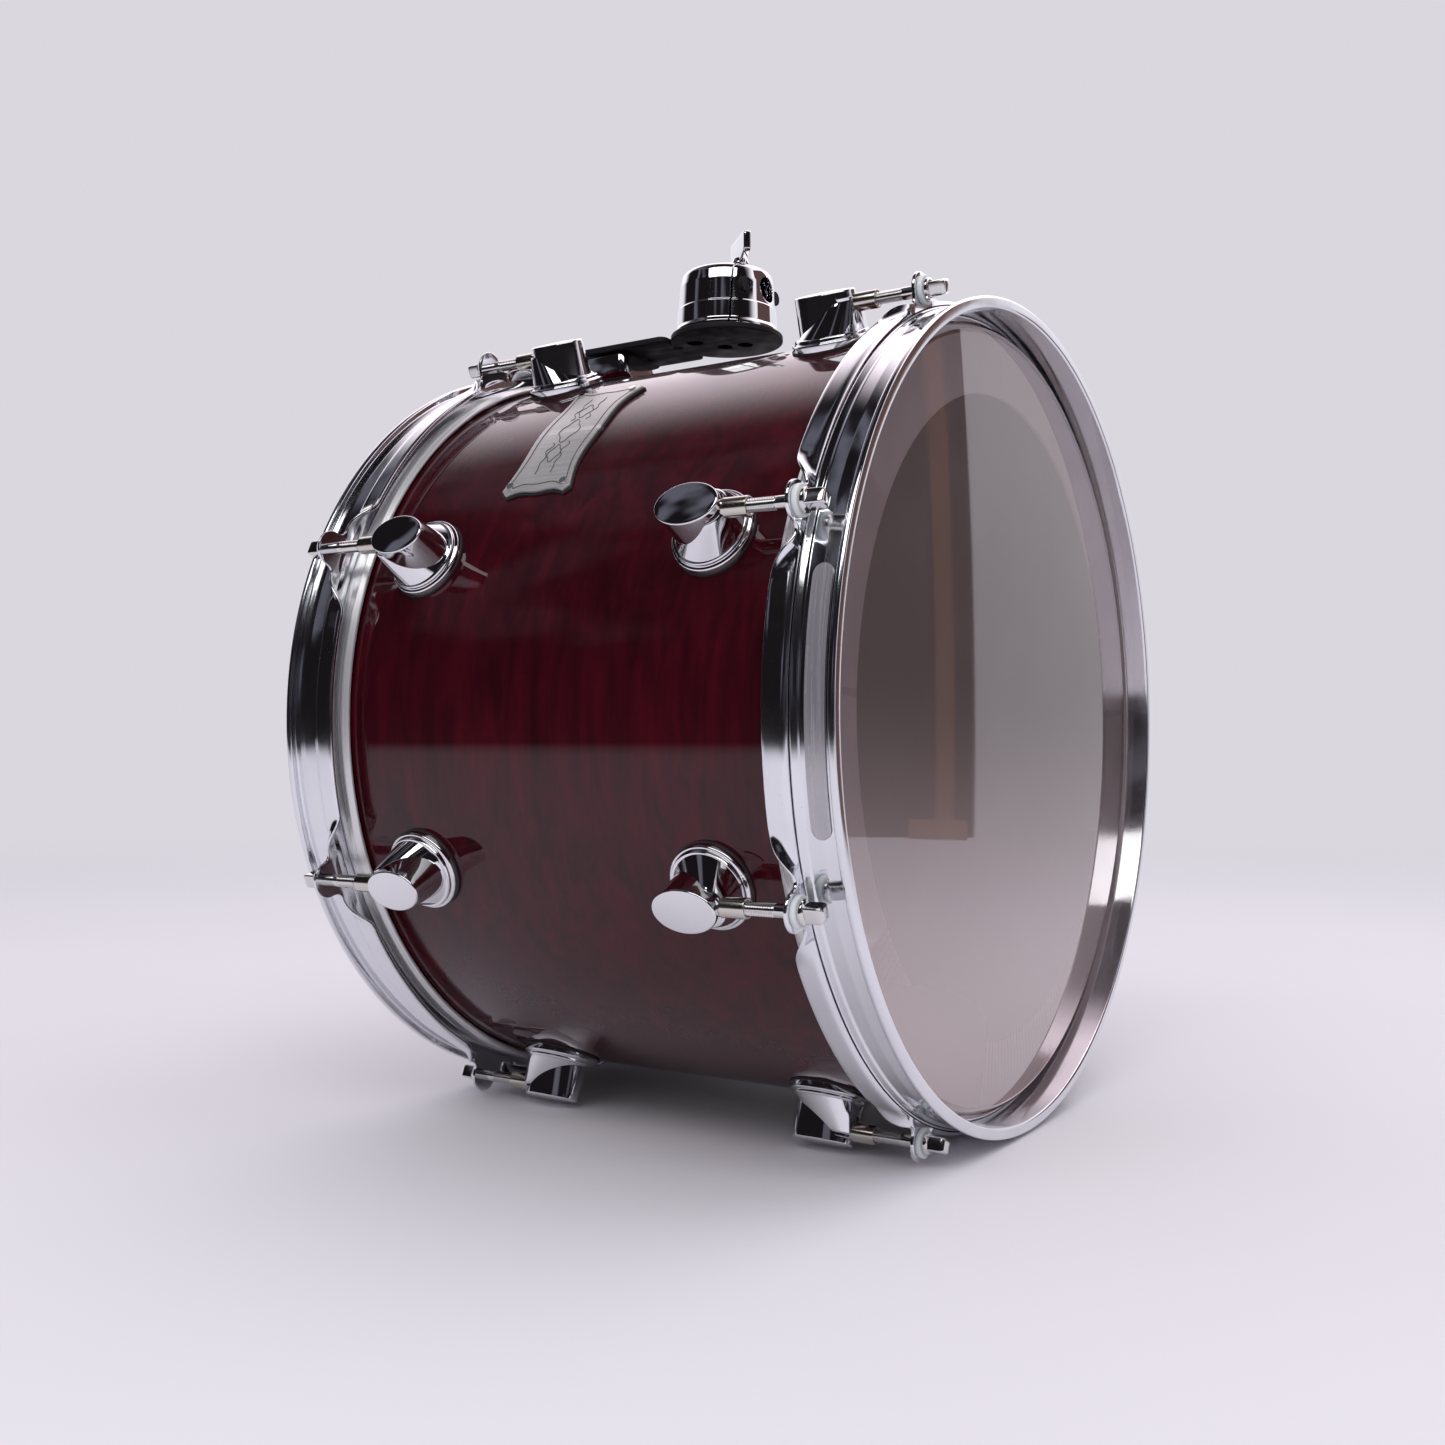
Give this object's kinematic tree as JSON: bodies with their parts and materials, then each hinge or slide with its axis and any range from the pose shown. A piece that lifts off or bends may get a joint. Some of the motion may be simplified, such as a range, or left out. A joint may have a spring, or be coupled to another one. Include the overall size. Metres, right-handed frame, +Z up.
{
  "type": "tom tom drum",
  "caption": "Tom tom drum lying on its side: lacquered wooden shell, two tensioned heads under flanged steel hoops, round lugs, and an isolated arm receiver on top.",
  "frame": {"origin": "on the ground under the middle of the shell, with the drum lying on its side", "axes": "+X along the drum's axis towards the batter head, +Z up through the arm receiver, -Y towards the badge"},
  "size_m": [0.278, 0.3752, 0.4365],
  "materials": {
    "red_lacquer": "dark red transparent gloss lacquer over maple",
    "clear_film": "clear glossy polyester film",
    "frosted_film": "slightly frosted film",
    "satin_aluminium": "satin",
    "brushed_plate": "fine brushed",
    "black_rubber": "matt",
    "white_nylon": "slightly translucent",
    "black_steel": "gloss black",
    "nickel_steel": "nickel plated",
    "chrome_cast": "polished",
    "chrome_hoop": "polished"
  },
  "bodies": {
    "root": {"shell": "red_lacquer", "vent_grommet": "chrome_cast", "batter_film": "clear_film", "batter_damping_ring": "frosted_film", "batter_flesh_hoop": "satin_aluminium", "batter_hoop": "chrome_hoop", "hoop_label": "brushed_plate", "resonant_film": "clear_film", "resonant_flesh_hoop": "satin_aluminium", "resonant_hoop": "chrome_hoop", "batter_lugs": "chrome_cast", "batter_lug_gaskets": "black_rubber", "batter_swivel_nuts": "nickel_steel", "batter_nylon_washers": "white_nylon", "resonant_lugs": "chrome_cast", "resonant_lug_gaskets": "black_rubber", "resonant_swivel_nuts": "nickel_steel", "resonant_nylon_washers": "white_nylon", "lug_screws": "nickel_steel", "lug_screw_washers": "black_steel", "badge_plate": "brushed_plate", "badge_gasket": "black_rubber", "badge_screws": "nickel_steel", "mount_foot": "chrome_cast", "mount_foot_gasket": "black_rubber", "mount_foot_screws": "nickel_steel", "mount_foot_washers": "black_steel", "mount_bracket": "black_steel", "bracket_isolators": "black_rubber", "bracket_bolts": "nickel_steel", "receiver_body": "chrome_cast", "receiver_cap": "chrome_cast", "receiver_screws": "nickel_steel", "receiver_cap_screws": "nickel_steel"},
    "batter_rod_1": {"batter_rod_1": "nickel_steel"},
    "batter_rod_2": {"batter_rod_2": "nickel_steel"},
    "batter_rod_3": {"batter_rod_3": "nickel_steel"},
    "batter_rod_4": {"batter_rod_4": "nickel_steel"},
    "batter_rod_5": {"batter_rod_5": "nickel_steel"},
    "batter_rod_6": {"batter_rod_6": "nickel_steel"},
    "batter_rod_7": {"batter_rod_7": "nickel_steel"},
    "batter_rod_8": {"batter_rod_8": "nickel_steel"},
    "resonant_rod_1": {"resonant_rod_1": "nickel_steel"},
    "resonant_rod_2": {"resonant_rod_2": "nickel_steel"},
    "resonant_rod_3": {"resonant_rod_3": "nickel_steel"},
    "resonant_rod_4": {"resonant_rod_4": "nickel_steel"},
    "resonant_rod_5": {"resonant_rod_5": "nickel_steel"},
    "resonant_rod_6": {"resonant_rod_6": "nickel_steel"},
    "resonant_rod_7": {"resonant_rod_7": "nickel_steel"},
    "resonant_rod_8": {"resonant_rod_8": "nickel_steel"},
    "wing_screw": {"wing_screw": "chrome_cast"}
  },
  "joints": [
    {"name": "batter_rod_1_turn", "type": "hinge", "parent": "root", "child": "batter_rod_1", "pos_m": [0.115, -0.07367, 0.3655], "axis": [1, 0, 0], "continuous": true},
    {"name": "batter_rod_2_turn", "type": "hinge", "parent": "root", "child": "batter_rod_2", "pos_m": [0.115, -0.17785, 0.26132], "axis": [1, 0, 0], "continuous": true},
    {"name": "batter_rod_3_turn", "type": "hinge", "parent": "root", "child": "batter_rod_3", "pos_m": [0.115, -0.17785, 0.11398], "axis": [1, 0, 0], "continuous": true},
    {"name": "batter_rod_4_turn", "type": "hinge", "parent": "root", "child": "batter_rod_4", "pos_m": [0.115, -0.07367, 0.0098], "axis": [1, 0, 0], "continuous": true},
    {"name": "batter_rod_5_turn", "type": "hinge", "parent": "root", "child": "batter_rod_5", "pos_m": [0.115, 0.07367, 0.0098], "axis": [1, 0, 0], "continuous": true},
    {"name": "batter_rod_6_turn", "type": "hinge", "parent": "root", "child": "batter_rod_6", "pos_m": [0.115, 0.17785, 0.11398], "axis": [1, 0, 0], "continuous": true},
    {"name": "batter_rod_7_turn", "type": "hinge", "parent": "root", "child": "batter_rod_7", "pos_m": [0.115, 0.17785, 0.26132], "axis": [1, 0, 0], "continuous": true},
    {"name": "batter_rod_8_turn", "type": "hinge", "parent": "root", "child": "batter_rod_8", "pos_m": [0.115, 0.07367, 0.3655], "axis": [1, 0, 0], "continuous": true},
    {"name": "resonant_rod_1_turn", "type": "hinge", "parent": "root", "child": "resonant_rod_1", "pos_m": [-0.115, -0.07367, 0.3655], "axis": [-1, 0, 0], "continuous": true},
    {"name": "resonant_rod_2_turn", "type": "hinge", "parent": "root", "child": "resonant_rod_2", "pos_m": [-0.115, -0.17785, 0.26132], "axis": [-1, 0, 0], "continuous": true},
    {"name": "resonant_rod_3_turn", "type": "hinge", "parent": "root", "child": "resonant_rod_3", "pos_m": [-0.115, -0.17785, 0.11398], "axis": [-1, 0, 0], "continuous": true},
    {"name": "resonant_rod_4_turn", "type": "hinge", "parent": "root", "child": "resonant_rod_4", "pos_m": [-0.115, -0.07367, 0.0098], "axis": [-1, 0, 0], "continuous": true},
    {"name": "resonant_rod_5_turn", "type": "hinge", "parent": "root", "child": "resonant_rod_5", "pos_m": [-0.115, 0.07367, 0.0098], "axis": [-1, 0, 0], "continuous": true},
    {"name": "resonant_rod_6_turn", "type": "hinge", "parent": "root", "child": "resonant_rod_6", "pos_m": [-0.115, 0.17785, 0.11398], "axis": [-1, 0, 0], "continuous": true},
    {"name": "resonant_rod_7_turn", "type": "hinge", "parent": "root", "child": "resonant_rod_7", "pos_m": [-0.115, 0.17785, 0.26132], "axis": [-1, 0, 0], "continuous": true},
    {"name": "resonant_rod_8_turn", "type": "hinge", "parent": "root", "child": "resonant_rod_8", "pos_m": [-0.115, 0.07367, 0.3655], "axis": [-1, 0, 0], "continuous": true},
    {"name": "wing_screw_turn", "type": "hinge", "parent": "root", "child": "wing_screw", "pos_m": [-0.016, 0, 0.42265], "axis": [0, 0, 1], "continuous": true}
  ]
}
